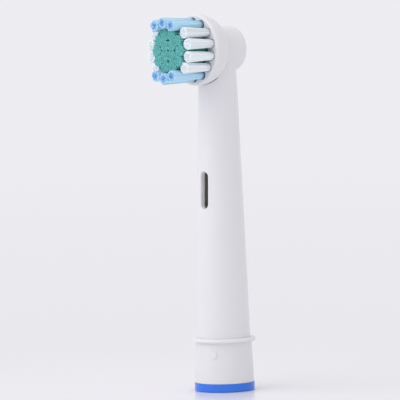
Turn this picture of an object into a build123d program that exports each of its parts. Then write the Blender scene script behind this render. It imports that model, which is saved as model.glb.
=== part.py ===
from build123d import *
from math import cos, radians, sin, tan
import os

os.makedirs("parts", exist_ok=True)

# Oscillating toothbrush head. Sizes are in millimetres and degrees.
# The bristles face -Y, the neck runs up along +Z, and the origin is the centre of the
# face that the head stands on.

# Clearances, each on the radius or on one side
running_clearance = 0.05
seat_clearance = 0.02
end_play = 0.1
disc_gap = 0.12

# Colour ring
ring_height = 1.7
ring_wall = 0.78
ring_edge = 0.2
snap_bead_radius = 0.25

# Base collar
handle_socket_diameter = 8.6
handle_socket_roof = 0.9
socket_mouth_chamfer = 0.3
ring_seat_wall = 0.9
foot_recess = 0.2
skirt_foot_wall = 1.58
skirt_top_wall = 1.3
skirt_height = 8.15
lip_overhang = 0.8
lip_thickness = 0.75
lip_edge = 0.3
keyway_width = 1.4
keyway_depth = 0.45
spigot_length = 6.6
spigot_wall = 0.9
rod_bearing_length = 1.5
rod_bearing_step = 0.3
pip_diameter = 1.4
pip_height = 0.2
pip_root = 0.4
pip_edge = 0.15
pip_level = 7.45
pip_angle = 27.0

# Drive rod
shaft_diameter = 4.0
shaft_depth = 12.0
shaft_flat_distance = 1.75
rod_socket_wall = 1.1
rod_socket_length = 15.0
rod_flange_width = 0.5
rod_flange_thickness = 1.0
rod_cone_length = 4.0
rod_stem_diameter = 4.4
rod_stop_width = 0.15
rod_stop_length = 2.5
rod_stop_play = 0.3
journal_length = 7.0
rod_top_drop = 6.7

# Shaft clip
clip_thickness = 0.25
clip_width = 1.7
clip_length = 10.0
clip_foot = 1.4

# Crank
crank_throw = 1.8
crank_lever = 1.8
crank_pin_diameter = 0.9
crank_pin_wall = 0.25
crank_pin_seat = 5.0
crank_slot_clearance = 0.08
crank_slot_end_gap = 0.15
drive_swing = 25.0

# Neck
neck_length = 57.55
neck_wall = 0.98
neck_top_wall = 1.15
spigot_stop_width = 0.25
spigot_end_gap = 0.2
bore_top_step = 0.4
drain_slot_length = 7.4
drain_slot_width = 2.0
drain_slot_level = 40.15
drain_slot_edge = 0.3

# Head boss
hub_room = 0.8
boss_wall = 1.2
boss_back_wall = 2.2
boss_back_edge = 0.95

# Disc hub and its pins
hub_slot_floor = 0.25
hub_web = 0.45
axle_diameter = 1.6
axle_seat_depth = 1.7
axle_boss_wall = 0.8
axle_boss_length = 1.2
axle_edge = 0.15
retaining_pin_diameter = 0.9
retaining_groove_depth = 0.6
retaining_pin_recess = 0.15

# Bristle disc
disc_thickness = 3.7
disc_slot_land = 0.2
disc_back_inset = 0.85
disc_rim_height = 0.6
disc_rim_margin = 0.75
disc_rim_edge = 0.4
disc_back_edge = 0.3

# Tufts
tuft_hole_diameter = 1.7
tuft_hole_depth = 2.4
tuft_hole_floor = 0.4
tuft_hole_flare = 0.12
tuft_hole_flare_angle = 90.0
outer_tip_diameter = 2.35
inner_tip_diameter = 1.88
tuft_tip_edge = 0.3
outer_circle_radius = 5.5
inner_circle_radius = 3.3
core_circle_radius = 1.4
outer_tuft_count = 14
inner_tuft_count = 10
core_tuft_count = 4
blue_tufts_per_end = 3
white_tuft_length = 6.6
blue_tuft_length = 8.3
green_tuft_length = 6.9
anchor_thickness = 0.35
anchor_height = 1.0

# Radii worked out from the bore of the drive rod to the outside of the neck
shaft_radius = shaft_diameter / 2
rod_socket_radius = shaft_radius + rod_socket_wall
rod_bearing_radius = rod_socket_radius + running_clearance
rod_flange_radius = rod_bearing_radius + rod_flange_width
spigot_inner_radius = rod_bearing_radius + rod_bearing_step
spigot_radius = spigot_inner_radius + spigot_wall
neck_bore_radius = spigot_radius + seat_clearance
neck_foot_radius = neck_bore_radius + neck_wall
crank_pin_radius = crank_pin_diameter / 2
journal_radius = crank_throw + crank_pin_radius + crank_pin_wall
land_radius = journal_radius + running_clearance
neck_top_radius = land_radius + neck_top_wall

# Radii of the collar and the ring, from the handle socket outwards
handle_socket_radius = handle_socket_diameter / 2
ring_seat_radius = handle_socket_radius + ring_seat_wall
ring_inner_radius = ring_seat_radius + seat_clearance
ring_radius = ring_inner_radius + ring_wall
skirt_foot_radius = handle_socket_radius + skirt_foot_wall
skirt_top_radius = handle_socket_radius + skirt_top_wall
lip_radius = skirt_top_radius + lip_overhang

# Levels above the seating face
lip_level = ring_height + skirt_height
neck_foot_level = lip_level + lip_thickness
handle_socket_level = neck_foot_level - handle_socket_roof
collar_top_level = neck_foot_level + spigot_length
rod_bottom_level = collar_top_level - rod_bearing_length
disc_axis_level = neck_foot_level + neck_length
rod_top_level = disc_axis_level - rod_top_drop
land_level = rod_top_level - journal_length
rod_stop_level = land_level - rod_stop_play
crank_tip_level = disc_axis_level - crank_lever + crank_pin_radius

# Distances in front of the neck axis, along the disc axis
crank_reach = crank_pin_radius + crank_slot_end_gap
hub_slot_front = crank_throw + crank_reach
hub_slot_back = crank_throw * cos(radians(drive_swing)) - crank_reach
disc_back = hub_slot_front + disc_slot_land
disc_face = disc_back + disc_thickness
disc_rim_back = disc_face - disc_rim_height
tuft_hole_bottom = disc_face - tuft_hole_depth
axle_bore_end = tuft_hole_bottom - tuft_hole_floor
boss_front = disc_back - disc_gap
groove_front = hub_slot_back - hub_web
groove_width = retaining_pin_diameter + 2 * end_play
groove_back = groove_front - groove_width
hub_end = groove_back - hub_web
axle_boss_end = hub_end - disc_gap
cavity_end = axle_boss_end - axle_boss_length
boss_end = cavity_end - boss_back_wall

# Radii about the disc axis
axle_radius = axle_diameter / 2
hub_radius = crank_lever + crank_pin_radius + hub_slot_floor
groove_radius = hub_radius - retaining_groove_depth
cavity_radius = hub_radius + hub_room
boss_radius = cavity_radius + boss_wall
tuft_hole_radius = tuft_hole_diameter / 2
disc_radius = outer_circle_radius + tuft_hole_radius + disc_rim_margin
disc_back_radius = disc_radius - disc_back_inset
retaining_pin_radius = retaining_pin_diameter / 2

# Planes and axes that several pieces share
disc_axis = Axis((0, 0, disc_axis_level), (0, 1, 0))
disc_section = Plane((0, 0, disc_axis_level), x_dir=(1, 0, 0), z_dir=(0, 0, 1))


def facing(distance):
    """Plane across the disc axis, that far in front of the neck axis, with its normal forward."""
    return Plane((0, -distance, disc_axis_level), x_dir=(1, 0, 0), z_dir=(0, -1, 0))


def on_circle(radius, angle):
    """Point on a circle in a plane that faces forward, with the angle counted from its right."""
    return (radius * cos(radians(angle)), radius * sin(radians(angle)))


def save(builder, name):
    """Label the finished piece and write it."""
    builder.part.label = name
    export_step(builder.part, f"parts/{name}.step")


# Colour ring, with a bead inside that snaps into the collar
with BuildPart() as colour_ring:
    with BuildSketch(Plane.XZ):
        with BuildLine():
            Polyline(
                (ring_inner_radius, 0),
                (ring_radius, 0),
                (ring_radius, ring_height),
                (ring_inner_radius, ring_height),
                close=True,
            )
        make_face()
        with Locations((ring_inner_radius, ring_height / 2)):
            Circle(snap_bead_radius)
    revolve(axis=Axis.Z)
    ring_rims = colour_ring.edges().filter_by(GeomType.CIRCLE).sort_by(lambda edge: edge.radius)[-2:]
    fillet(ring_rims, ring_edge)
save(colour_ring, "colour_ring")

# Base collar: ring seat, skirt, lip, spigot and the lower bearing of the rod
with BuildPart() as base_collar:
    with BuildSketch(Plane.XZ):
        with BuildLine():
            Polyline(
                (handle_socket_radius, foot_recess),
                (ring_seat_radius, foot_recess),
                (ring_seat_radius, ring_height),
                (skirt_foot_radius, ring_height),
                (skirt_top_radius, lip_level),
                (lip_radius, lip_level),
                (lip_radius, neck_foot_level),
                (spigot_radius, neck_foot_level),
                (spigot_radius, collar_top_level),
                (rod_bearing_radius, collar_top_level),
                (rod_bearing_radius, rod_bottom_level),
                (spigot_inner_radius, rod_bottom_level),
                (spigot_inner_radius, handle_socket_level),
                (handle_socket_radius, handle_socket_level),
                close=True,
            )
        make_face()
        with Locations((ring_inner_radius, ring_height / 2)):
            Circle(snap_bead_radius + seat_clearance, mode=Mode.SUBTRACT)
    revolve(axis=Axis.Z)
    circles = base_collar.edges().filter_by(GeomType.CIRCLE)
    fillet(circles.sort_by(lambda edge: edge.radius)[-2:], lip_edge)
    socket_mouth = circles.group_by(Axis.Z)[0].sort_by(lambda edge: edge.radius)[0]
    chamfer(socket_mouth, socket_mouth_chamfer)
    with BuildSketch(Plane.XY.offset(foot_recess)):
        Rectangle(keyway_width, 2 * (handle_socket_radius + keyway_depth))
    extrude(amount=handle_socket_level - foot_recess, mode=Mode.SUBTRACT)
    pip_share = (pip_level - ring_height) / skirt_height
    pip_surface = skirt_foot_radius + (skirt_top_radius - skirt_foot_radius) * pip_share
    pip_out = (sin(radians(pip_angle)), -cos(radians(pip_angle)), 0)
    pip_plane = Plane((0, 0, pip_level), x_dir=(0, 0, 1), z_dir=pip_out)
    with BuildSketch(pip_plane.offset(pip_surface - pip_root)):
        Circle(pip_diameter / 2)
    extrude(amount=pip_root + pip_height)
    pip_rim = base_collar.edges().filter_by(GeomType.CIRCLE).filter_by(
        lambda edge: abs(edge.radius - pip_diameter / 2) < pip_edge
    )
    fillet(pip_rim, pip_edge)
save(base_collar, "base_collar")

# Neck and head boss, one moulding
with BuildPart() as neck_housing:
    with BuildSketch(facing(boss_end)):
        Circle(boss_radius)
    extrude(amount=boss_front - boss_end)
    fillet(neck_housing.edges().sort_by(Axis.Y)[-1], boss_back_edge)
    with BuildSketch(Plane.XZ):
        with BuildLine():
            Polyline(
                (0, neck_foot_level),
                (neck_foot_radius, neck_foot_level),
                (neck_top_radius, disc_axis_level),
                (0, disc_axis_level),
                close=True,
            )
        make_face()
    revolve(axis=Axis.Z)
    with BuildSketch(Plane.XZ):
        with BuildLine():
            Polyline(
                (0, neck_foot_level),
                (neck_bore_radius, neck_foot_level),
                (neck_bore_radius, collar_top_level + spigot_end_gap),
                (neck_bore_radius - spigot_stop_width, collar_top_level + spigot_end_gap),
                (land_radius + bore_top_step, land_level),
                (land_radius, land_level),
                (land_radius, disc_axis_level),
                (0, disc_axis_level),
                close=True,
            )
        make_face()
    revolve(axis=Axis.Z, mode=Mode.SUBTRACT)
    with BuildSketch(facing(cavity_end)):
        Circle(cavity_radius)
    extrude(amount=boss_front - cavity_end, mode=Mode.SUBTRACT)
    # Room for the disc, with the same bowl shape
    with BuildSketch(disc_section):
        with BuildLine():
            bowl = TangentArc(
                (disc_radius + disc_gap, -disc_rim_back),
                (disc_back_radius + disc_gap, -boss_front),
                tangent=(0, 1),
            )
            Polyline(
                bowl @ 1,
                (0, -boss_front),
                (0, -disc_face),
                (disc_radius + disc_gap, -disc_face),
                bowl @ 0,
            )
        make_face()
    revolve(axis=disc_axis, mode=Mode.SUBTRACT)
    with BuildSketch(facing(cavity_end)):
        Circle(axle_radius + axle_boss_wall)
    extrude(amount=axle_boss_length)
    with BuildSketch(facing(axle_boss_end)):
        Circle(axle_radius + seat_clearance)
    extrude(amount=-axle_seat_depth, mode=Mode.SUBTRACT)
    with BuildSketch(Plane((0, -(groove_front + groove_back) / 2, disc_axis_level))):
        Circle(retaining_pin_radius + seat_clearance)
    extrude(amount=boss_radius + retaining_pin_radius, mode=Mode.SUBTRACT)
    with BuildSketch(Plane((0, 0, drain_slot_level), x_dir=(1, 0, 0), z_dir=(0, -1, 0))):
        SlotOverall(drain_slot_length, drain_slot_width, rotation=90)
    extrude(amount=neck_foot_radius, mode=Mode.SUBTRACT)
    slot_edges = neck_housing.edges(Select.LAST)
    slot_outside = slot_edges.group_by(lambda edge: round(edge.center().Y / neck_wall))[0]
    fillet(slot_outside, drain_slot_edge)
save(neck_housing, "neck_housing")

# Drive rod, with a socket for the handle's shaft below and a seat for the crank pin on top
with BuildPart() as drive_rod:
    flange_level = collar_top_level + end_play
    flange_top_level = flange_level + rod_flange_thickness
    socket_end_level = rod_bottom_level + rod_socket_length
    stop_radius = journal_radius + rod_stop_width
    with BuildSketch(Plane.XZ):
        with BuildLine():
            Polyline(
                (0, rod_bottom_level),
                (rod_socket_radius, rod_bottom_level),
                (rod_socket_radius, flange_level),
                (rod_flange_radius, flange_level),
                (rod_flange_radius, flange_top_level),
                (rod_socket_radius, flange_top_level),
                (rod_socket_radius, socket_end_level),
                (rod_stem_diameter / 2, socket_end_level + rod_cone_length),
                (rod_stem_diameter / 2, rod_stop_level - rod_stop_length),
                (stop_radius, rod_stop_level),
                (journal_radius, rod_stop_level),
                (journal_radius, rod_top_level),
                (0, rod_top_level),
                close=True,
            )
        make_face()
    revolve(axis=Axis.Z)
    with BuildSketch(Plane.XY.offset(rod_bottom_level)):
        Circle(shaft_radius)
        with Locations((0, shaft_flat_distance)):
            Rectangle(shaft_diameter, shaft_diameter, align=(Align.CENTER, Align.MIN), mode=Mode.SUBTRACT)
    extrude(amount=shaft_depth, mode=Mode.SUBTRACT)
    with BuildSketch(Plane((0, -crank_throw, rod_top_level - crank_pin_seat))):
        Circle(crank_pin_radius + seat_clearance)
    extrude(amount=crank_pin_seat, mode=Mode.SUBTRACT)
save(drive_rod, "drive_rod")

# Crank pin, with a round tip
with BuildPart() as crank_pin:
    with BuildSketch(disc_section.offset(rod_top_level - crank_pin_seat - disc_axis_level)):
        with Locations((0, -crank_throw)):
            Circle(crank_pin_radius)
    extrude(amount=crank_tip_level - rod_top_level + crank_pin_seat)
    fillet(crank_pin.edges().sort_by(Axis.Z)[-1], crank_pin_radius - seat_clearance)
save(crank_pin, "crank_pin")

# Shaft clip, a leaf on the flat of the socket with a foot hooked under the rod
with BuildPart() as shaft_clip:
    clip_inside = shaft_flat_distance - clip_thickness
    with BuildSketch(Plane.YZ.offset(-clip_width / 2)):
        with BuildLine():
            Polyline(
                (clip_inside, rod_bottom_level - clip_thickness),
                (clip_inside + clip_foot, rod_bottom_level - clip_thickness),
                (clip_inside + clip_foot, rod_bottom_level),
                (shaft_flat_distance, rod_bottom_level),
                (shaft_flat_distance, rod_bottom_level + clip_length),
                (clip_inside, rod_bottom_level + clip_length),
                close=True,
            )
        make_face()
    extrude(amount=clip_width)
save(shaft_clip, "shaft_clip")

# Axle of the disc
with BuildPart() as disc_axle:
    with BuildSketch(facing(axle_boss_end - axle_seat_depth)):
        Circle(axle_radius)
    extrude(amount=axle_bore_end - end_play - axle_boss_end + axle_seat_depth)
    chamfer(disc_axle.edges().filter_by(GeomType.CIRCLE), axle_edge)
save(disc_axle, "disc_axle")

# Pin across the top of the boss, with its tip in the groove of the hub
with BuildPart() as retaining_pin:
    pin_tip_level = disc_axis_level + groove_radius + end_play
    with BuildSketch(Plane((0, -(groove_front + groove_back) / 2, pin_tip_level))):
        Circle(retaining_pin_radius)
    extrude(amount=boss_radius - groove_radius - end_play - retaining_pin_recess)
save(retaining_pin, "retaining_pin")

# Places of the tufts on the face of the disc, by colour
outer_step = 360 / outer_tuft_count
blue_reach = (blue_tufts_per_end - 1) / 2 * outer_step
blue_angles = [
    end + outer_step * step - blue_reach
    for end in (90, 270)
    for step in range(blue_tufts_per_end)
]
outer_angles = [90 + outer_step * step for step in range(outer_tuft_count)]
white_angles = [
    angle
    for angle in outer_angles
    if all(abs((angle - blue + 180) % 360 - 180) > outer_step / 2 for blue in blue_angles)
]
inner_angles = [360 / inner_tuft_count * step for step in range(inner_tuft_count)]
core_angles = [360 / core_tuft_count * (step + 0.5) for step in range(core_tuft_count)]
white_places = [on_circle(outer_circle_radius, angle) for angle in white_angles]
blue_places = [on_circle(outer_circle_radius, angle) for angle in blue_angles]
green_places = [on_circle(inner_circle_radius, angle) for angle in inner_angles]
green_places += [on_circle(core_circle_radius, angle) for angle in core_angles]
tuft_places = white_places + blue_places + green_places

# Bristle disc: bowl with tuft holes in front and a hub with the crank slot behind
with BuildPart() as bristle_disc:
    with BuildSketch(disc_section):
        with BuildLine():
            bowl = TangentArc((disc_radius, -disc_rim_back), (disc_back_radius, -disc_back), tangent=(0, 1))
            Polyline(
                bowl @ 1,
                (hub_radius, -disc_back),
                (hub_radius, -groove_front),
                (groove_radius, -groove_front),
                (groove_radius, -groove_back),
                (hub_radius, -groove_back),
                (hub_radius, -hub_end),
                (axle_radius + running_clearance, -hub_end),
                (axle_radius + running_clearance, -axle_bore_end),
                (0, -axle_bore_end),
                (0, -disc_face),
                (disc_radius, -disc_face),
                bowl @ 0,
            )
        make_face()
    revolve(axis=disc_axis)
    rims = bristle_disc.edges().filter_by(GeomType.CIRCLE)
    fillet(rims.group_by(Axis.Y)[0].sort_by(lambda edge: edge.radius)[-1], disc_rim_edge)
    back_rim = bristle_disc.edges().filter_by(GeomType.CIRCLE).filter_by(
        lambda edge: abs(edge.radius - disc_back_radius) < seat_clearance
    )
    fillet(back_rim, disc_back_edge)
    # The slot holds the pin at the crank's lever and flares by the swing of the disc
    slot_half = crank_pin_radius + crank_slot_clearance
    slot_inner = crank_lever - crank_reach
    slot_outer = hub_radius + running_clearance
    slot_mouth = slot_half + (slot_outer - crank_lever) * tan(radians(drive_swing))
    with BuildSketch(facing(hub_slot_back)):
        with BuildLine():
            Polyline(
                (slot_half, -slot_inner),
                (slot_half, -crank_lever),
                (slot_mouth, -slot_outer),
                (-slot_mouth, -slot_outer),
                (-slot_half, -crank_lever),
                (-slot_half, -slot_inner),
                close=True,
            )
        make_face()
    extrude(amount=hub_slot_front - hub_slot_back, mode=Mode.SUBTRACT)
    with Locations(facing(disc_face)):
        with Locations(*tuft_places):
            CounterSinkHole(
                radius=tuft_hole_radius,
                counter_sink_radius=tuft_hole_radius + tuft_hole_flare,
                depth=tuft_hole_depth,
                counter_sink_angle=tuft_hole_flare_angle,
            )
save(bristle_disc, "bristle_disc")

# Anchors, one plate across the bottom of each tuft hole
with BuildPart() as tuft_anchors:
    with BuildSketch(facing(tuft_hole_bottom)):
        with Locations(*tuft_places):
            Rectangle(2 * (tuft_hole_radius - running_clearance), anchor_thickness)
    extrude(amount=anchor_height)
save(tuft_anchors, "tuft_anchors")


def make_tuft(name, place, length, tip_diameter):
    """Tuft folded over its anchor, wider at the tip."""
    foot = (place[0], -tuft_hole_bottom, disc_axis_level + place[1])
    hole_fill = tuft_hole_radius - seat_clearance
    with BuildPart() as tuft:
        with BuildSketch(Plane(foot, x_dir=(1, 0, 0), z_dir=(0, 0, 1))):
            with BuildLine():
                Polyline(
                    (0, 0),
                    (hole_fill, 0),
                    (hole_fill, -tuft_hole_depth),
                    (tip_diameter / 2, -tuft_hole_depth - length),
                    (0, -tuft_hole_depth - length),
                    close=True,
                )
            make_face()
        revolve(axis=Axis(foot, (0, 1, 0)))
        chamfer(tuft.edges().filter_by(GeomType.CIRCLE).sort_by(Axis.Y)[0], tuft_tip_edge)
        with BuildSketch(Plane(foot, x_dir=(1, 0, 0), z_dir=(0, -1, 0))):
            Rectangle(tuft_hole_diameter, anchor_thickness + 2 * seat_clearance)
        extrude(amount=anchor_height + seat_clearance, mode=Mode.SUBTRACT)
    save(tuft, name)


for colour, places, length, tip_diameter in (
    ("white", white_places, white_tuft_length, outer_tip_diameter),
    ("blue", blue_places, blue_tuft_length, outer_tip_diameter),
    ("green", green_places, green_tuft_length, inner_tip_diameter),
):
    for number, place in enumerate(places, start=1):
        make_tuft(f"{colour}_tuft_{number}", place, length, tip_diameter)
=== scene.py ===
import math

import bpy
from bpy.props import FloatProperty, FloatVectorProperty, IntProperty, PointerProperty
from mathutils import Matrix, Vector


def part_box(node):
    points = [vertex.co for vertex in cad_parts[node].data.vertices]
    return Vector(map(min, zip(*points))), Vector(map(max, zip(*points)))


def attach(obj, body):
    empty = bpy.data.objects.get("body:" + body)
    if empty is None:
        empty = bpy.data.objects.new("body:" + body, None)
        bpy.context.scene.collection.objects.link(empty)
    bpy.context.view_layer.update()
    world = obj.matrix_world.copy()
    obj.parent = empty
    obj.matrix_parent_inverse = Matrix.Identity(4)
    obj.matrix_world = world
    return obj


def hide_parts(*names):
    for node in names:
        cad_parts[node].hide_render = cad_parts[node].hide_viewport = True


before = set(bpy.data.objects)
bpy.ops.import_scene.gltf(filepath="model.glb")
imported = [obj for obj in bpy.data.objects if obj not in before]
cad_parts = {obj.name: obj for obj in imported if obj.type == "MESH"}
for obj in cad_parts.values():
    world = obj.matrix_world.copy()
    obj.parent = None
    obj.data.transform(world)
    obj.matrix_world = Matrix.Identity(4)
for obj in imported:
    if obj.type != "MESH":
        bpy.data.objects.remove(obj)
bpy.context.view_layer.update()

bl_info = {
    "name": "Toothbrush Head",
    "version": (1, 0, 0),
    "blender": (4, 5, 0),
    "location": "3D View > Sidebar > Brush Head",
    "description": "Dresses an oscillating toothbrush head with plastics, bristles and a studio",
    "category": "Object",
}

# Places and sizes of the tufts, in metres. The bristles point along -Y.
MM = 0.001
TUFT_COLOURS = ("white", "blue", "green")
ANCHOR_TOP = -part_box("tuft_anchors")[0].y


def nodes_of(colour_name):
    """Names of the tuft nodes of one colour."""
    return sorted(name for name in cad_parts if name.startswith(f"{colour_name}_tuft_"))


def tuft_end(colour_name):
    """How far in front of the neck axis the tufts of one colour end."""
    return -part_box(nodes_of(colour_name)[0])[0].y


def tuft_radius(colour_name):
    """Half the widest part of a tuft of one colour."""
    low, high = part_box(nodes_of(colour_name)[0])
    return (high.z - low.z) / 2


# Settings that a user would change


def length(name, description, default):
    """Length in metres."""
    return FloatProperty(name=name, description=description, default=default, unit="LENGTH", precision=5)


def share(name, description, default):
    """Number from 0 to 1."""
    return FloatProperty(
        name=name, description=description, default=default, min=0.0, max=1.0, subtype="FACTOR"
    )


def angle(name, description, degrees):
    """Angle whose default is written in degrees."""
    return FloatProperty(
        name=name, description=description, default=math.radians(degrees), subtype="ANGLE"
    )


def colour(name, description, default):
    """Colour with its opacity."""
    return FloatVectorProperty(
        name=name, description=description, default=default, size=4, min=0.0, max=1.0, subtype="COLOR"
    )


def share_by_colour(name, description, default):
    """Shares for the white, the blue and the green tufts."""
    return FloatVectorProperty(
        name=name, description=description, default=default, size=3, min=0.0, max=1.0
    )


def length_by_colour(name, description, default):
    """Lengths for the white, the blue and the green tufts."""
    return FloatVectorProperty(
        name=name, description=description, default=default, size=3, min=0.0, unit="LENGTH", precision=5
    )


class PlasticSettings(bpy.types.PropertyGroup):
    """Finishes of the mouldings and the metal inside them."""

    white: colour("White", "Colour of the neck, the collar and the disc", (0.82, 0.815, 0.84, 1.0))
    white_roughness: share("White roughness", "Roughness of the white mouldings", 0.38)
    ring: colour("Ring", "Colour of the ring at the foot", (0.03, 0.185, 0.79, 1.0))
    ring_roughness: share("Ring roughness", "Roughness of the ring", 0.2)
    rod: colour("Rod", "Colour of the drive rod", (0.90, 0.84, 0.72, 1.0))
    rod_roughness: share("Rod roughness", "Roughness of the drive rod", 0.5)
    glow: share("Glow", "How much of the light that reaches the plastic spreads inside it", 0.3)
    glow_depth: length("Glow depth", "How deep light spreads in the plastic", 0.7 * MM)
    grain: length("Grain", "Width of the fine grain that the mould leaves", 0.12 * MM)
    flow: length("Flow", "Width of the cloudy marks where the plastic flowed", 7.0 * MM)
    steel: colour("Steel", "Colour of the pins and the clip", (0.62, 0.62, 0.64, 1.0))
    brass: colour("Brass", "Colour of the tuft anchors", (0.72, 0.58, 0.30, 1.0))
    streak_width: length("Streak width", "Width of the fine streaks in the metal", 0.05 * MM)
    streak_length: length("Streak length", "Length of the fine streaks in the metal", 10.0 / 3.0 * MM)


class BristleSettings(bpy.types.PropertyGroup):
    """Sizes and colours of the filaments."""

    filaments: IntProperty(
        name="Filaments", description="Filaments in each tuft", default=96, min=7, max=200
    )
    filament_diameter: length("Filament", "Diameter of one filament", 0.22 * MM)
    anchor_gap: length("Anchor gap", "How far a filament starts in front of its anchor", 0.02 * MM)
    foot_radius: length("Foot radius", "Radius of a tuft where it leaves its hole", 0.80 * MM)
    core: share("Core", "Share of a tuft's radius that is packed solid", 0.9)
    core_drop: length_by_colour(
        "Core drop", "How far the packed part stays under the tips", (0.28 * MM, 0.32 * MM, 0.22 * MM)
    )
    splay: share_by_colour(
        "Splay", "How much wider the tips spread than the solid tufts", (0.05, 0.05, 0.36)
    )
    lean: share_by_colour(
        "Lean", "How far the filaments lean, as a share of their length", (0.012, 0.02, 0.05)
    )
    uneven: length_by_colour(
        "Uneven", "How far the tips of one tuft differ in height", (0.06 * MM, 0.15 * MM, 0.12 * MM)
    )
    dome: length_by_colour(
        "Dome", "How much lower the rim of a tuft is than its middle", (0.25 * MM, 0.10 * MM, 0.05 * MM)
    )
    seed: IntProperty(name="Seed", description="Seed of the random lengths and leans", default=7, min=0)
    white: colour("White", "Colour of the white filaments", (0.89, 0.955, 1.0, 1.0))
    # The foot colours are painted shade: the filaments darken towards their holes and among the tuft feet,
    # where little light reaches.
    white_shaded_foot: colour("White foot", "Colour of white filaments in their holes", (0.55, 0.60, 0.64, 1.0))
    blue: colour("Blue", "Colour of the blue filaments", (0.515, 0.80, 1.0, 1.0))
    blue_shaded_foot: colour("Blue foot", "Colour of blue filaments in their holes", (0.02, 0.07, 0.22, 1.0))
    # The deeper blue at the ends is painted shade, standing for the dark gaps between the filament ends.
    blue_shaded_tip: colour("Blue tip", "Colour of the ends of the blue filaments", (0.12, 0.32, 0.78, 1.0))
    green: colour("Green", "Colour of the green filaments", (0.15, 0.53, 0.52, 1.0))
    green_shaded_foot: colour("Green foot", "Colour of green filaments in their holes", (0.015, 0.11, 0.10, 1.0))
    # Where the painted shade at the feet of the filaments ends.
    foot_shade_end: share_by_colour(
        "Foot end", "Where along a filament the dark foot ends", (0.22, 0.24, 0.33)
    )
    # Tip start and tip share place the colour of the ends, which on the blue filaments is painted shade.
    tip_start: share_by_colour(
        "Tip start", "Where along a filament the colour of its end starts", (0.95, 0.96, 0.95)
    )
    tip_share: share_by_colour(
        "Tip share", "Share of a tuft's filaments, from the middle, with coloured ends", (1.0, 0.6, 1.0)
    )
    tone_spread: share("Tone spread", "How much the filaments differ in brightness", 0.3)
    roughness: share("Roughness", "Lowest roughness of a filament", 0.32)
    roughness_spread: share("Roughness spread", "How much rougher the roughest filament is", 0.15)


class StageSettings(bpy.types.PropertyGroup):
    """Floor, backdrop, light and camera."""

    backdrop: colour("Backdrop", "Colour behind the object", (0.852, 0.844, 0.884, 1.0))
    floor: colour("Floor", "Colour of the floor round the object", (0.87, 0.86, 0.90, 1.0))
    floor_away: colour(
        "Floor away", "Brightness of the floor a little away from the object", (0.815, 0.807, 0.847, 1.0)
    )
    floor_roughness: share("Floor roughness", "Roughness of the floor", 0.22)
    floor_gloss: share("Floor gloss", "Strength of the reflections in the floor", 0.15)
    floor_radius: length("Floor radius", "Radius of the round floor", 4.0)
    shadow_start: length("Shadow start", "Distance at which the shadow on the floor starts to fade", 0.015)
    shadow_end: length("Shadow end", "Distance at which the shadow on the floor has faded", 0.11)
    haze_start: length("Haze start", "Distance at which the floor starts to turn into the backdrop", 0.05)
    haze_end: length("Haze end", "Distance at which the floor has the backdrop's colour", 1.2)
    ambient: FloatProperty(
        name="Ambient", description="Strength of the light from all round", default=0.775
    )
    ambient_colour: colour("Ambient colour", "Colour of the light from all round", (1.0, 0.995, 1.0, 1.0))
    key: FloatProperty(
        name="Key", description="Power of the large lamp on the left", default=1.5, unit="POWER"
    )
    key_side: angle("Key side", "How far the lamp stands to the left of the camera", 66.0)
    key_rise: angle("Key rise", "How high the lamp stands over the object", 40.0)
    key_distance: length("Key distance", "From the lamp to the middle of the object", 0.6)
    key_size: length("Key size", "Diameter of the lamp", 0.8)
    azimuth: angle("Azimuth", "Side that the camera looks from", 48.0)
    camera_distance: length("Camera distance", "From the camera to the middle of the object", 0.67)
    camera_level: length("Camera level", "Height of the camera over the floor", 0.074)
    aim_level: length("Aim level", "Height of the middle of the picture", 0.03815)
    aim_left: length("Aim left", "How far left of the neck the middle of the picture lies", 4.06 * MM)
    roll: angle("Roll", "Tilt of the camera about its line of sight", -1.4)
    picture_width: length("Picture width", "Width that the picture shows at the object", 0.0799)


# Node trees


def add_node(tree, kind, inputs=None, **settings):
    """Add a node, set what it is and fill its sockets with values or links."""
    made = tree.nodes.new(kind)
    for key, value in settings.items():
        setattr(made, key, value)
    for key, value in (inputs or {}).items():
        socket = made.inputs[key]
        if isinstance(value, bpy.types.NodeSocket):
            tree.links.new(value, socket)
        else:
            socket.default_value = value
    return made


def math_node(tree, operation, *values):
    """Result of an operation on one, two or three numbers."""
    return add_node(tree, "ShaderNodeMath", dict(enumerate(values)), operation=operation).outputs[0]


def vector_node(tree, operation, first, second):
    """Result of an operation on two vectors."""
    return add_node(tree, "ShaderNodeVectorMath", {0: first, 1: second}, operation=operation).outputs[0]


def scaled(tree, vector, factor):
    """Vector or colour times a number."""
    inputs = {0: vector, "Scale": factor}
    return add_node(tree, "ShaderNodeVectorMath", inputs, operation="SCALE").outputs[0]


def vector_length(tree, vector):
    """Length of a vector."""
    return add_node(tree, "ShaderNodeVectorMath", {0: vector}, operation="LENGTH").outputs["Value"]


def vector_of(tree, **parts):
    """Vector from its X, Y and Z."""
    return add_node(tree, "ShaderNodeCombineXYZ", parts).outputs[0]


def parts_of(tree, vector):
    """X, Y and Z of a vector."""
    return add_node(tree, "ShaderNodeSeparateXYZ", {0: vector}).outputs


def ramp(tree, value, start, end, kind="SMOOTHSTEP"):
    """Rise from 0 at the start to 1 at the end."""
    inputs = {"Value": value, "From Min": start, "From Max": end}
    return add_node(tree, "ShaderNodeMapRange", inputs, interpolation_type=kind).outputs[0]


def mix_colours(tree, factor, first, second):
    """Colour between two others."""
    return add_node(tree, "ShaderNodeMix", {0: factor, 6: first, 7: second}, data_type="RGBA").outputs[2]


def new_group(name, kind, inputs, outputs):
    """Start a node group with named sockets; returns its tree, its input node and its output node."""
    tree = bpy.data.node_groups.new(name, kind)
    for in_out, sockets in (("INPUT", inputs), ("OUTPUT", outputs)):
        for socket_name, socket_kind in sockets:
            tree.interface.new_socket(socket_name, in_out=in_out, socket_type=socket_kind)
    return tree, tree.nodes.new("NodeGroupInput"), tree.nodes.new("NodeGroupOutput")


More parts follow.
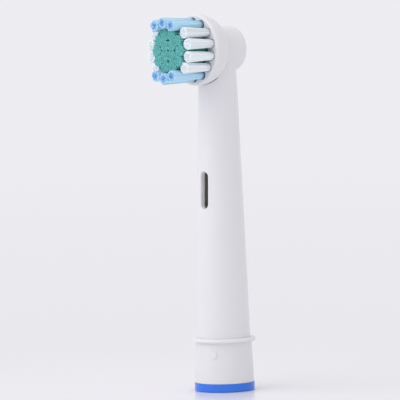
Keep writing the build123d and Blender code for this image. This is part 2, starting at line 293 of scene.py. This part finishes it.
def moulded_skin():
    """Group for moulded plastic: cloudy flow marks, uneven gloss and a fine grain."""
    name = "Moulded Skin"
    if name in bpy.data.node_groups:
        return bpy.data.node_groups[name]
    tree, given, result = new_group(
        name,
        "ShaderNodeTree",
        [
            ("Coordinate", "NodeSocketVector"),
            ("Colour", "NodeSocketColor"),
            ("Roughness", "NodeSocketFloat"),
            ("Flow Width", "NodeSocketFloat"),
            ("Grain Width", "NodeSocketFloat"),
            ("Shade Spread", "NodeSocketFloat"),
            ("Gloss Spread", "NodeSocketFloat"),
        ],
        [("Colour", "NodeSocketColor"), ("Roughness", "NodeSocketFloat"), ("Height", "NodeSocketFloat")],
    )
    value = given.outputs
    flow_scale = math_node(tree, "DIVIDE", 1.0, value["Flow Width"])
    grain_scale = math_node(tree, "DIVIDE", 1.0, value["Grain Width"])
    flow = add_node(
        tree,
        "ShaderNodeTexNoise",
        {"Vector": value["Coordinate"], "Scale": flow_scale, "Detail": 3.0, "Distortion": 0.6},
    ).outputs["Fac"]
    grain = add_node(
        tree, "ShaderNodeTexNoise", {"Vector": value["Coordinate"], "Scale": grain_scale, "Detail": 2.0}
    ).outputs["Fac"]
    cloud = math_node(tree, "SUBTRACT", flow, 0.5)
    shade = math_node(tree, "MULTIPLY_ADD", cloud, value["Shade Spread"], 1.0)
    speck = math_node(tree, "ADD", cloud, math_node(tree, "SUBTRACT", grain, 0.5))
    rough = math_node(tree, "MULTIPLY_ADD", speck, value["Gloss Spread"], value["Roughness"])
    tree.links.new(scaled(tree, value["Colour"], shade), result.inputs["Colour"])
    tree.links.new(rough, result.inputs["Roughness"])
    tree.links.new(grain, result.inputs["Height"])
    return tree


def nylon_filament():
    """Group for a filament: painted shade darkening it where it leaves the hole and among the tuft feet,
    its own colour, then the colour of its end, which on the blue filaments is painted shade.
    """
    name = "Nylon Filament"
    if name in bpy.data.node_groups:
        return bpy.data.node_groups[name]
    tree, given, result = new_group(
        name,
        "ShaderNodeTree",
        [
            ("Foot Shade Colour", "NodeSocketColor"),
            ("Colour", "NodeSocketColor"),
            ("Tip Colour", "NodeSocketColor"),
            ("Foot Shade End", "NodeSocketFloat"),
            ("Tip Start", "NodeSocketFloat"),
            ("Tip Share", "NodeSocketFloat"),
            ("Tone Spread", "NodeSocketFloat"),
            ("Roughness", "NodeSocketFloat"),
            ("Roughness Spread", "NodeSocketFloat"),
        ],
        [("Colour", "NodeSocketColor"), ("Roughness", "NodeSocketFloat")],
    )
    value = given.outputs
    along = add_node(tree, "ShaderNodeAttribute", attribute_name="along").outputs["Fac"]
    tone = add_node(tree, "ShaderNodeAttribute", attribute_name="tone").outputs["Fac"]
    rim = add_node(tree, "ShaderNodeAttribute", attribute_name="rim").outputs["Fac"]
    # Painted shade at the feet: the filaments darken from here down into their holes and among the tuft
    # feet.
    foot_shade_start = 0.1
    out_of_foot_shade = ramp(tree, along, foot_shade_start, value["Foot Shade End"])
    # Painted shade at the ends of the middle filaments, used on the blue tufts; the white and green ends
    # keep their own colour.
    at_end = ramp(tree, along, value["Tip Start"], 1.0)
    in_middle = ramp(tree, rim, value["Tip Share"], 0.0)
    lower = mix_colours(tree, out_of_foot_shade, value["Foot Shade Colour"], value["Colour"])
    end_shade_mask = math_node(tree, "MULTIPLY", at_end, in_middle)
    whole = mix_colours(tree, end_shade_mask, lower, value["Tip Colour"])
    shift = math_node(tree, "SUBTRACT", tone, 0.5)
    brightness = math_node(tree, "MULTIPLY_ADD", shift, value["Tone Spread"], 1.0)
    rough = math_node(tree, "MULTIPLY_ADD", tone, value["Roughness Spread"], value["Roughness"])
    tree.links.new(scaled(tree, whole, brightness), result.inputs["Colour"])
    tree.links.new(rough, result.inputs["Roughness"])
    return tree


def drawn_metal():
    """Group for drawn wire and rolled strip: fine streaks along one direction."""
    name = "Drawn Metal"
    if name in bpy.data.node_groups:
        return bpy.data.node_groups[name]
    tree, given, result = new_group(
        name,
        "ShaderNodeTree",
        [
            ("Coordinate", "NodeSocketVector"),
            ("Colour", "NodeSocketColor"),
            ("Streaks", "NodeSocketVector"),
            ("Roughness", "NodeSocketFloat"),
        ],
        [("Colour", "NodeSocketColor"), ("Roughness", "NodeSocketFloat"), ("Height", "NodeSocketFloat")],
    )
    value = given.outputs
    darkest, shade_spread, gloss_spread = 0.85, 0.3, 0.2
    stretched = vector_node(tree, "MULTIPLY", value["Coordinate"], value["Streaks"])
    streak = add_node(
        tree, "ShaderNodeTexNoise", {"Vector": stretched, "Scale": 1.0, "Detail": 3.0}
    ).outputs["Fac"]
    shade = math_node(tree, "MULTIPLY_ADD", streak, shade_spread, darkest)
    rough = math_node(tree, "MULTIPLY_ADD", streak, gloss_spread, value["Roughness"])
    tree.links.new(scaled(tree, value["Colour"], shade), result.inputs["Colour"])
    tree.links.new(rough, result.inputs["Roughness"])
    tree.links.new(streak, result.inputs["Height"])
    return tree


# Materials


def shader_of(material):
    """The shader of a material."""
    return material.node_tree.nodes["Principled BSDF"]


def start_material(name, group, values):
    """Material whose colour and roughness come from a group; returns it with its group node."""
    material = bpy.data.materials.new(name)
    material.use_nodes = True
    tree = material.node_tree
    effect = add_node(tree, "ShaderNodeGroup", values, node_tree=group)
    tree.links.new(effect.outputs["Colour"], shader_of(material).inputs["Base Color"])
    tree.links.new(effect.outputs["Roughness"], shader_of(material).inputs["Roughness"])
    return material, effect


def add_relief(material, effect, depth):
    """Set the group's pattern on the piece, and let its height shape the surface a little."""
    tree = material.node_tree
    place = add_node(tree, "ShaderNodeTexCoord").outputs["Object"]
    tree.links.new(place, effect.inputs["Coordinate"])
    inputs = {"Height": effect.outputs["Height"], "Strength": 1.0, "Distance": depth}
    bump = add_node(tree, "ShaderNodeBump", inputs).outputs["Normal"]
    tree.links.new(bump, shader_of(material).inputs["Normal"])


def let_light_in(material, share_inside, depth):
    """Let some of the light spread under the surface."""
    sockets = shader_of(material).inputs
    sockets["Subsurface Weight"].default_value = share_inside
    sockets["Subsurface Radius"].default_value = (1.0, 1.0, 1.0)
    sockets["Subsurface Scale"].default_value = depth


def plastic_material(name, settings, base, roughness, shade_spread, gloss_spread, relief):
    """Moulded plastic with flow marks and grain."""
    material, effect = start_material(
        name,
        moulded_skin(),
        {
            "Colour": base,
            "Roughness": roughness,
            "Flow Width": settings.flow,
            "Grain Width": settings.grain,
            "Shade Spread": shade_spread,
            "Gloss Spread": gloss_spread,
        },
    )
    add_relief(material, effect, depth=relief)
    return material


def metal_material(name, settings, base, along, roughness):
    """Drawn metal with streaks along one axis of the piece."""
    streaks = [1.0 / settings.streak_width] * 3
    streaks["XYZ".index(along)] = 1.0 / settings.streak_length
    material, effect = start_material(
        name, drawn_metal(), {"Colour": base, "Streaks": streaks, "Roughness": roughness}
    )
    shader_of(material).inputs["Metallic"].default_value = 1.0
    add_relief(material, effect, depth=0.004 * MM)
    return material


def nylon_material(place, settings, foot, base, tip):
    """Nylon filaments of the colour at one place in the list of tuft colours."""
    material, _ = start_material(
        f"{TUFT_COLOURS[place]}_nylon",
        nylon_filament(),
        {
            "Foot Shade Colour": foot,
            "Colour": base,
            "Tip Colour": tip,
            "Foot Shade End": settings.foot_shade_end[place],
            "Tip Start": settings.tip_start[place],
            "Tip Share": settings.tip_share[place],
            "Tone Spread": settings.tone_spread,
            "Roughness": settings.roughness,
            "Roughness Spread": settings.roughness_spread,
        },
    )
    return material


def dress(node_name, material):
    """Give a CAD node a finished material."""
    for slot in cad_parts[node_name].material_slots:
        slot.material = material


# Bristles


def store(tree, geometry, name, value, data_type="FLOAT", domain="POINT"):
    """Geometry whose points or corners keep a value under a name."""
    inputs = {"Geometry": geometry, "Name": name, "Value": value}
    return add_node(
        tree, "GeometryNodeStoreNamedAttribute", inputs, data_type=data_type, domain=domain
    ).outputs[0]


def kept(tree, name, data_type="FLOAT"):
    """Value that was stored under a name."""
    inputs = {"Name": name}
    return add_node(tree, "GeometryNodeInputNamedAttribute", inputs, data_type=data_type).outputs[0]


def random_value(tree, seed, step, highest=1.0):
    """Random number for each point, from 0 to the highest, with a seed this many steps on."""
    chance = add_node(tree, "FunctionNodeRandomValue", {3: highest}, data_type="FLOAT")
    tree.links.new(math_node(tree, "ADD", seed, step), chance.inputs["Seed"])
    return chance.outputs[1]


def rotation_of(tree, **angles):
    """Rotation from its angles about X, Y and Z."""
    return add_node(tree, "FunctionNodeEulerToRotation", {0: vector_of(tree, **angles)}).outputs[0]


def unit_cylinder(tree, sides, steps):
    """Cylinder of radius 1 and height 1 about the origin."""
    inputs = {"Vertices": sides, "Side Segments": steps, "Radius": 1.0, "Depth": 1.0}
    return add_node(tree, "GeometryNodeMeshCylinder", inputs, fill_type="NGON").outputs[0]


def moved(tree, geometry, position):
    """Geometry with its points at other places."""
    inputs = {"Geometry": geometry, "Position": position}
    return add_node(tree, "GeometryNodeSetPosition", inputs).outputs[0]


def packed_core(tree, value, position):
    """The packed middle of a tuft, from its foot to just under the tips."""
    packed = unit_cylinder(tree, sides=12, steps=3)
    packed = store(tree, packed, "side", position, "FLOAT_VECTOR")
    place = parts_of(tree, position)
    climb = math_node(tree, "ADD", place["Z"], 0.5)
    packed = store(tree, packed, "along", climb)
    packed = store(tree, packed, "tone", 0.5)
    packed = store(tree, packed, "rim", 1.0)
    girth = add_node(
        tree,
        "ShaderNodeMapRange",
        {"Value": climb, "To Min": value["Foot Radius"], "To Max": value["Tip Radius"]},
    ).outputs[0]
    girth = math_node(tree, "MULTIPLY", girth, value["Core Share"])
    core_length = math_node(tree, "SUBTRACT", value["Length"], value["Core Drop"])
    forward = math_node(tree, "MULTIPLY", math_node(tree, "MULTIPLY", climb, core_length), -1.0)
    across = math_node(tree, "MULTIPLY", place["X"], girth)
    up = math_node(tree, "MULTIPLY", place["Y"], girth)
    return moved(tree, packed, vector_of(tree, X=across, Y=forward, Z=up))


def filament_seats(tree, value):
    """Seats of the filaments of one tuft, packed like the seeds of a sunflower."""
    golden_angle = math.pi * (3.0 - math.sqrt(5.0))
    index = add_node(tree, "GeometryNodeInputIndex").outputs[0]
    rim = math_node(tree, "DIVIDE", math_node(tree, "ADD", index, 0.5), value["Filaments"])
    inside = math_node(tree, "SUBTRACT", value["Foot Radius"], value["Filament Radius"])
    radius = math_node(tree, "MULTIPLY", math_node(tree, "SQRT", rim), inside)
    turn = math_node(tree, "MULTIPLY", index, golden_angle)
    across = math_node(tree, "MULTIPLY", radius, math_node(tree, "COSINE", turn))
    up = math_node(tree, "MULTIPLY", radius, math_node(tree, "SINE", turn))
    inputs = {"Count": value["Filaments"], "Position": vector_of(tree, X=across, Z=up)}
    seats = add_node(tree, "GeometryNodePoints", inputs).outputs[0]
    return store(tree, seats, "rim", rim)


def one_filament(tree, position):
    """One filament, a unit tall, with rings that crowd towards its slim tip."""
    tip_slimness, just_below_tip = 0.45, 0.49
    sideways_bend, crowding = 0.9, 3.0
    stick = unit_cylinder(tree, sides=6, steps=4)
    stick = store(tree, stick, "side", position, "FLOAT_VECTOR")
    place = parts_of(tree, position)
    below_tip = math_node(tree, "SUBTRACT", 0.5, place["Z"])
    height = math_node(tree, "SUBTRACT", 1.0, math_node(tree, "POWER", below_tip, crowding))
    is_tip = math_node(tree, "GREATER_THAN", place["Z"], just_below_tip)
    slim = math_node(tree, "MULTIPLY_ADD", is_tip, -tip_slimness, 1.0)
    bend = math_node(tree, "MULTIPLY", math_node(tree, "MULTIPLY", height, height), sideways_bend)
    across = math_node(tree, "ADD", math_node(tree, "MULTIPLY", place["X"], slim), bend)
    up = math_node(tree, "MULTIPLY", place["Y"], slim)
    stick = moved(tree, stick, vector_of(tree, X=across, Y=up, Z=height))
    stick = store(tree, stick, "along", place["Z"])
    return add_node(tree, "GeometryNodeSetShadeSmooth", {"Geometry": stick}).outputs[0]


def filament_way(tree, value, offset):
    """Rotation of each filament: forward, spread from the middle of its tuft, with a little lean."""
    widening = math_node(tree, "DIVIDE", value["Tip Radius"], value["Foot Radius"])
    flare = scaled(tree, offset, math_node(tree, "SUBTRACT", widening, 1.0))
    forward = vector_of(tree, Y=math_node(tree, "MULTIPLY", value["Length"], -1.0))
    wander = add_node(tree, "FunctionNodeRandomValue", data_type="FLOAT_VECTOR")
    wander.inputs[0].default_value = (-1.0, 0.0, -1.0)
    wander.inputs[1].default_value = (1.0, 0.0, 1.0)
    tree.links.new(value["Seed"], wander.inputs["Seed"])
    lean = scaled(tree, wander.outputs[0], math_node(tree, "MULTIPLY", value["Lean"], value["Length"]))
    way = vector_node(tree, "ADD", vector_node(tree, "ADD", forward, flare), lean)
    aimed = add_node(tree, "FunctionNodeAlignRotationToVector", {"Vector": way}, axis="Z").outputs[0]
    spin = rotation_of(tree, Z=random_value(tree, value["Seed"], step=2.0, highest=math.tau))
    inputs = {"Rotation": aimed, "Rotate By": spin}
    return add_node(tree, "FunctionNodeRotateRotation", inputs, rotation_space="LOCAL").outputs[0]


def filament_size(tree, value, offset):
    """Thickness and length of each filament: uneven tips, and a rim lower than the middle."""
    shorter = math_node(tree, "MULTIPLY", random_value(tree, value["Seed"], step=3.0), value["Uneven"])
    rim = math_node(tree, "DIVIDE", vector_length(tree, offset), value["Foot Radius"])
    drop = math_node(tree, "MULTIPLY", math_node(tree, "MULTIPLY", rim, rim), value["Dome"])
    tall = math_node(tree, "SUBTRACT", math_node(tree, "SUBTRACT", value["Length"], shorter), drop)
    return vector_of(tree, X=value["Filament Radius"], Y=value["Filament Radius"], Z=tall)


def laid_out(tree, geometry):
    """Real filaments with a flat map for the export, on which those of like colour lie together."""
    real = add_node(tree, "GeometryNodeRealizeInstances", {"Geometry": geometry}).outputs[0]

    # The map has a band for each step from the middle of a tuft to its rim, and rows by tone in it
    bands, tone_room, margin, thickness = 16.0, 0.8, 0.01, 0.004
    side = parts_of(tree, kept(tree, "side", "FLOAT_VECTOR"))
    reach = math_node(tree, "MULTIPLY_ADD", kept(tree, "along"), 1.0 - 2.0 * margin, margin)
    across = math_node(tree, "MULTIPLY_ADD", side["Y"], thickness, reach)
    level = math_node(tree, "MULTIPLY", kept(tree, "rim"), bands - margin)
    band = math_node(tree, "ADD", math_node(tree, "FLOOR", level), (1.0 - tone_room) / 2)
    row = math_node(tree, "MULTIPLY_ADD", kept(tree, "tone"), tone_room, band)
    row = math_node(tree, "DIVIDE", row, bands)
    up = math_node(tree, "MULTIPLY_ADD", side["X"], thickness, row)
    return store(tree, real, "OFBake", vector_of(tree, X=across, Y=up), "FLOAT2", "CORNER")


def bristle_tree():
    """Geometry nodes that grow a bundle of filaments on every point of a mesh."""
    name = "Tuft Bundles"
    if name in bpy.data.node_groups:
        return bpy.data.node_groups[name]
    tree, given, result = new_group(
        name,
        "GeometryNodeTree",
        [
            ("Geometry", "NodeSocketGeometry"),
            ("Filaments", "NodeSocketInt"),
            ("Foot Radius", "NodeSocketFloat"),
            ("Tip Radius", "NodeSocketFloat"),
            ("Filament Radius", "NodeSocketFloat"),
            ("Length", "NodeSocketFloat"),
            ("Core Share", "NodeSocketFloat"),
            ("Core Drop", "NodeSocketFloat"),
            ("Uneven", "NodeSocketFloat"),
            ("Dome", "NodeSocketFloat"),
            ("Lean", "NodeSocketFloat"),
            ("Seed", "NodeSocketInt"),
            ("Finish", "NodeSocketMaterial"),
        ],
        [("Geometry", "NodeSocketGeometry")],
    )
    value = given.outputs
    on_points = "GeometryNodeInstanceOnPoints"

    # Each tuft keeps its own centre and gets a packed core
    position = add_node(tree, "GeometryNodeInputPosition").outputs[0]
    tufts = store(tree, value["Geometry"], "centre", position, "FLOAT_VECTOR")
    core = packed_core(tree, value, position)
    cores = add_node(tree, on_points, {"Points": tufts, "Instance": core}).outputs[0]

    # Each bundle of seats is turned at random, and each filament has a tone of its own
    turned = rotation_of(tree, Y=random_value(tree, value["Seed"], step=0.0, highest=math.tau))
    inputs = {"Points": tufts, "Instance": filament_seats(tree, value), "Rotation": turned}
    bundles = add_node(tree, on_points, inputs).outputs[0]
    roots = add_node(tree, "GeometryNodeRealizeInstances", {"Geometry": bundles}).outputs[0]
    roots = store(tree, roots, "tone", random_value(tree, value["Seed"], step=1.0))

    # The filaments grow from the seats
    offset = vector_node(tree, "SUBTRACT", position, kept(tree, "centre", "FLOAT_VECTOR"))
    inputs = {
        "Points": roots,
        "Instance": one_filament(tree, position),
        "Rotation": filament_way(tree, value, offset),
        "Scale": filament_size(tree, value, offset),
    }
    grown = add_node(tree, on_points, inputs).outputs[0]
    whole = add_node(tree, "GeometryNodeJoinGeometry")
    tree.links.new(cores, whole.inputs[0])
    tree.links.new(grown, whole.inputs[0])
    mapped = laid_out(tree, whole.outputs[0])
    real = add_node(tree, "GeometryNodeRealizeInstances", {"Geometry": mapped}).outputs[0]
    inputs = {"Geometry": real, "Material": value["Finish"]}
    finished = add_node(tree, "GeometryNodeSetMaterial", inputs).outputs[0]
    tree.links.new(finished, result.inputs["Geometry"])
    return tree


def grow_tufts(place, settings, material):
    """All tufts of one colour as one mesh, which stands for their CAD solids."""
    colour_name = TUFT_COLOURS[place]
    start = ANCHOR_TOP + settings.anchor_gap
    feet = []
    for node_name in nodes_of(colour_name):
        low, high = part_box(node_name)
        feet.append(((low.x + high.x) / 2, -start, (low.z + high.z) / 2))
    mesh = bpy.data.meshes.new(f"{colour_name}_feet")
    mesh.from_pydata(feet, [], [])
    mesh.materials.append(material)
    beds = bpy.data.objects.new(f"{colour_name}_feet", mesh)
    bpy.context.scene.collection.objects.link(beds)
    modifier = beds.modifiers.new("Bundles", "NODES")
    modifier.node_group = bristle_tree()
    inputs = {
        "Filaments": settings.filaments,
        "Foot Radius": settings.foot_radius,
        "Tip Radius": tuft_radius(colour_name) * (1.0 + settings.splay[place]),
        "Filament Radius": settings.filament_diameter / 2,
        "Length": tuft_end(colour_name) - start,
        "Core Share": settings.core,
        "Core Drop": settings.core_drop[place],
        "Uneven": settings.uneven[place],
        "Dome": settings.dome[place],
        "Lean": settings.lean[place],
        "Seed": settings.seed,
        "Finish": material,
    }
    for item in modifier.node_group.interface.items_tree:
        if item.item_type == "SOCKET" and item.in_out == "INPUT" and item.name in inputs:
            modifier[item.identifier] = inputs[item.name]
    graph = bpy.context.evaluated_depsgraph_get()
    grown = bpy.data.meshes.new_from_object(
        beds.evaluated_get(graph), preserve_all_data_layers=True, depsgraph=graph
    )
    beds.modifiers.remove(modifier)
    bpy.data.objects.remove(beds)
    piece = bpy.data.objects.new(f"{colour_name}_bristles", grown)
    bpy.context.scene.collection.objects.link(piece)
    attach(piece, "disc")
    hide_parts(*nodes_of(colour_name))


# Operators, one for each piece or group of like pieces


class FinishMouldings(bpy.types.Operator):
    """Give the white mouldings their satin skin"""

    bl_idname = "brush_head.finish_mouldings"
    bl_label = "Neck, collar and disc"

    def execute(self, context):
        settings = context.scene.brush_plastics
        for node_name in ("neck_housing", "base_collar", "bristle_disc"):
            material = plastic_material(
                f"white_{node_name}",
                settings,
                settings.white,
                settings.white_roughness,
                shade_spread=0.03,
                gloss_spread=0.12,
                relief=0.004 * MM,
            )
            let_light_in(material, settings.glow, settings.glow_depth)
            dress(node_name, material)
        return {"FINISHED"}


class FinishRing(bpy.types.Operator):
    """Give the ring its glossy blue"""

    bl_idname = "brush_head.finish_ring"
    bl_label = "Colour ring"

    def execute(self, context):
        settings = context.scene.brush_plastics
        material = plastic_material(
            "blue_ring",
            settings,
            settings.ring,
            settings.ring_roughness,
            shade_spread=0.12,
            gloss_spread=0.08,
            relief=0.003 * MM,
        )
        dress("colour_ring", material)
        return {"FINISHED"}


class FinishDrive(bpy.types.Operator):
    """Give the drive rod its dull plastic"""

    bl_idname = "brush_head.finish_drive"
    bl_label = "Drive rod"

    def execute(self, context):
        settings = context.scene.brush_plastics
        material = plastic_material(
            "natural_rod",
            settings,
            settings.rod,
            settings.rod_roughness,
            shade_spread=0.08,
            gloss_spread=0.12,
            relief=0.008 * MM,
        )
        dress("drive_rod", material)
        return {"FINISHED"}


class FinishMetal(bpy.types.Operator):
    """Give the pins, the clip and the anchors their drawn metal"""

    bl_idname = "brush_head.finish_metal"
    bl_label = "Pins, clip and anchors"

    def execute(self, context):
        settings = context.scene.brush_plastics
        steel = settings.steel
        brass = settings.brass
        dress("disc_axle", metal_material("steel_axle", settings, steel, along="Y", roughness=0.2))
        dress("retaining_pin", metal_material("steel_retainer", settings, steel, along="Z", roughness=0.2))
        dress("crank_pin", metal_material("steel_crank", settings, steel, along="Z", roughness=0.2))
        dress("shaft_clip", metal_material("steel_clip", settings, steel, along="Z", roughness=0.28))
        dress("tuft_anchors", metal_material("brass_anchors", settings, brass, along="Y", roughness=0.3))
        return {"FINISHED"}


class GrowBristles(bpy.types.Operator):
    """Grow the white, blue and green filaments in their holes"""

    bl_idname = "brush_head.grow_bristles"
    bl_label = "Bristles"

    def execute(self, context):
        settings = context.scene.brush_bristles
        # The foot colours are painted shade at the feet of the tufts; the blue end colour is painted shade
        # at the ends.
        colours = {
            "white": (settings.white_shaded_foot, settings.white, settings.white),
            "blue": (settings.blue_shaded_foot, settings.blue, settings.blue_shaded_tip),
            "green": (settings.green_shaded_foot, settings.green, settings.green),
        }
        for place, colour_name in enumerate(TUFT_COLOURS):
            foot, base, tip = colours[colour_name]
            grow_tufts(place, settings, nylon_material(place, settings, foot, base, tip))
        return {"FINISHED"}


class SetStage(bpy.types.Operator):
    """Set up the floor, the backdrop, the lamp and the camera"""

    bl_idname = "brush_head.set_stage"
    bl_label = "Stage"

    def execute(self, context):
        settings = context.scene.brush_stage
        self.make_floor(context, settings)
        self.make_world(context, settings)
        self.make_lamp(context, settings)
        self.make_camera(context, settings)
        context.scene.view_settings.view_transform = "Standard"
        return {"FINISHED"}

    def make_floor(self, context, settings):
        """Wide round floor."""
        steps = 96
        turns = [math.tau * step / steps for step in range(steps)]
        rim = [Vector((math.cos(turn), math.sin(turn), 0.0)) * settings.floor_radius for turn in turns]
        mesh = bpy.data.meshes.new("floor")
        mesh.from_pydata(rim, [], [list(range(steps))])
        mesh.materials.append(self.floor_material(settings))
        floor = bpy.data.objects.new("floor", mesh)
        context.scene.collection.objects.link(floor)

    def floor_material(self, settings):
        """Pale floor that keeps the object's shadow and fades into the backdrop."""
        material = bpy.data.materials.new("floor")
        material.use_nodes = True
        tree = material.node_tree
        shader = shader_of(material)
        shader.inputs["Base Color"].default_value = settings.floor
        shader.inputs["Roughness"].default_value = settings.floor_roughness
        shader.inputs["Specular IOR Level"].default_value = settings.floor_gloss
        far = vector_length(tree, add_node(tree, "ShaderNodeTexCoord").outputs["Object"])
        haze = ramp(tree, far, settings.haze_start, settings.haze_end, kind="LINEAR")
        away = mix_colours(tree, haze, settings.floor_away, settings.backdrop)
        glow = add_node(tree, "ShaderNodeEmission", {"Color": away, "Strength": 1.0}).outputs[0]
        fade = ramp(tree, far, settings.shadow_start, settings.shadow_end)
        mixed = add_node(tree, "ShaderNodeMixShader", {0: fade, 1: shader.outputs[0], 2: glow}).outputs[0]
        tree.links.new(mixed, tree.nodes["Material Output"].inputs["Surface"])
        return material

    def make_world(self, context, settings):
        """Even light from all round, and the backdrop's colour where the camera or a reflection sees it."""
        world = bpy.data.worlds.new("studio")
        context.scene.world = world
        world.use_nodes = True
        tree = world.node_tree
        tree.nodes.clear()
        path = add_node(tree, "ShaderNodeLightPath").outputs
        seen = math_node(tree, "MAXIMUM", path["Is Camera Ray"], path["Is Glossy Ray"])
        seen = math_node(tree, "MAXIMUM", seen, path["Is Transmission Ray"])
        inputs = {"Color": settings.ambient_colour, "Strength": settings.ambient}
        light = add_node(tree, "ShaderNodeBackground", inputs).outputs[0]
        inputs = {"Color": settings.backdrop, "Strength": 1.0}
        backdrop = add_node(tree, "ShaderNodeBackground", inputs).outputs[0]
        mixed = add_node(tree, "ShaderNodeMixShader", {0: seen, 1: light, 2: backdrop}).outputs[0]
        output = add_node(tree, "ShaderNodeOutputWorld", {"Surface": mixed})
        output.is_active_output = True

    def make_lamp(self, context, settings):
        """One large soft lamp, up on the camera's left."""
        middle = Vector((0.0, 0.0, settings.aim_level))
        side = settings.azimuth - settings.key_side
        rise = settings.key_rise
        level = math.cos(rise)
        away = Vector((math.sin(side) * level, -math.cos(side) * level, math.sin(rise)))
        lamp = bpy.data.lights.new("key", "AREA")
        lamp.energy = settings.key
        lamp.shape = "DISK"
        lamp.size = settings.key_size
        key = bpy.data.objects.new("key", lamp)
        key.location = middle + away * settings.key_distance
        key.rotation_euler = away.to_track_quat("Z", "Y").to_euler()
        context.scene.collection.objects.link(key)

    def make_camera(self, context, settings):
        """Camera at the photograph's angle, tilted a little about its line of sight."""
        side = settings.azimuth
        right = Vector((math.cos(side), math.sin(side), 0.0))
        towards = Vector((math.sin(side), -math.cos(side), 0.0))
        aim = -right * settings.aim_left + Vector((0.0, 0.0, settings.aim_level))
        spot = aim + towards * settings.camera_distance
        spot.z = settings.camera_level
        data = bpy.data.cameras.new("camera")
        data.sensor_width = 36.0
        data.lens = data.sensor_width * (spot - aim).length / settings.picture_width
        data.clip_start = 0.01
        data.clip_end = 20.0
        camera = bpy.data.objects.new("camera", data)
        turn = (aim - spot).to_track_quat("-Z", "Y").to_matrix().to_4x4()
        camera.matrix_world = Matrix.Translation(spot) @ turn @ Matrix.Rotation(settings.roll, 4, "Z")
        context.scene.collection.objects.link(camera)
        context.scene.camera = camera


PIECE_OPERATORS = (FinishMouldings, FinishRing, FinishDrive, FinishMetal, GrowBristles, SetStage)


class BrushHeadPanel(bpy.types.Panel):
    """Lists the settings and the steps in the sidebar"""

    bl_idname = "VIEW3D_PT_brush_head"
    bl_label = "Brush Head"
    bl_space_type = "VIEW_3D"
    bl_region_type = "UI"
    bl_category = "Brush Head"

    def draw(self, context):
        scene = context.scene
        for settings in (scene.brush_plastics, scene.brush_bristles, scene.brush_stage):
            column = self.layout.column()
            for name in settings.__annotations__:
                column.prop(settings, name)
        for operator in PIECE_OPERATORS:
            self.layout.operator(operator.bl_idname)


CLASSES = (PlasticSettings, BristleSettings, StageSettings, *PIECE_OPERATORS, BrushHeadPanel)


def register():
    for item in CLASSES:
        bpy.utils.register_class(item)
    bpy.types.Scene.brush_plastics = PointerProperty(type=PlasticSettings)
    bpy.types.Scene.brush_bristles = PointerProperty(type=BristleSettings)
    bpy.types.Scene.brush_stage = PointerProperty(type=StageSettings)


def unregister():
    del bpy.types.Scene.brush_stage
    del bpy.types.Scene.brush_bristles
    del bpy.types.Scene.brush_plastics
    for item in reversed(CLASSES):
        bpy.utils.unregister_class(item)


def main():
    """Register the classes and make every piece."""
    register()
    bpy.ops.brush_head.finish_mouldings()
    bpy.ops.brush_head.finish_ring()
    bpy.ops.brush_head.finish_drive()
    bpy.ops.brush_head.finish_metal()
    bpy.ops.brush_head.grow_bristles()
    bpy.ops.brush_head.set_stage()


if __name__ == "__main__":
    main()
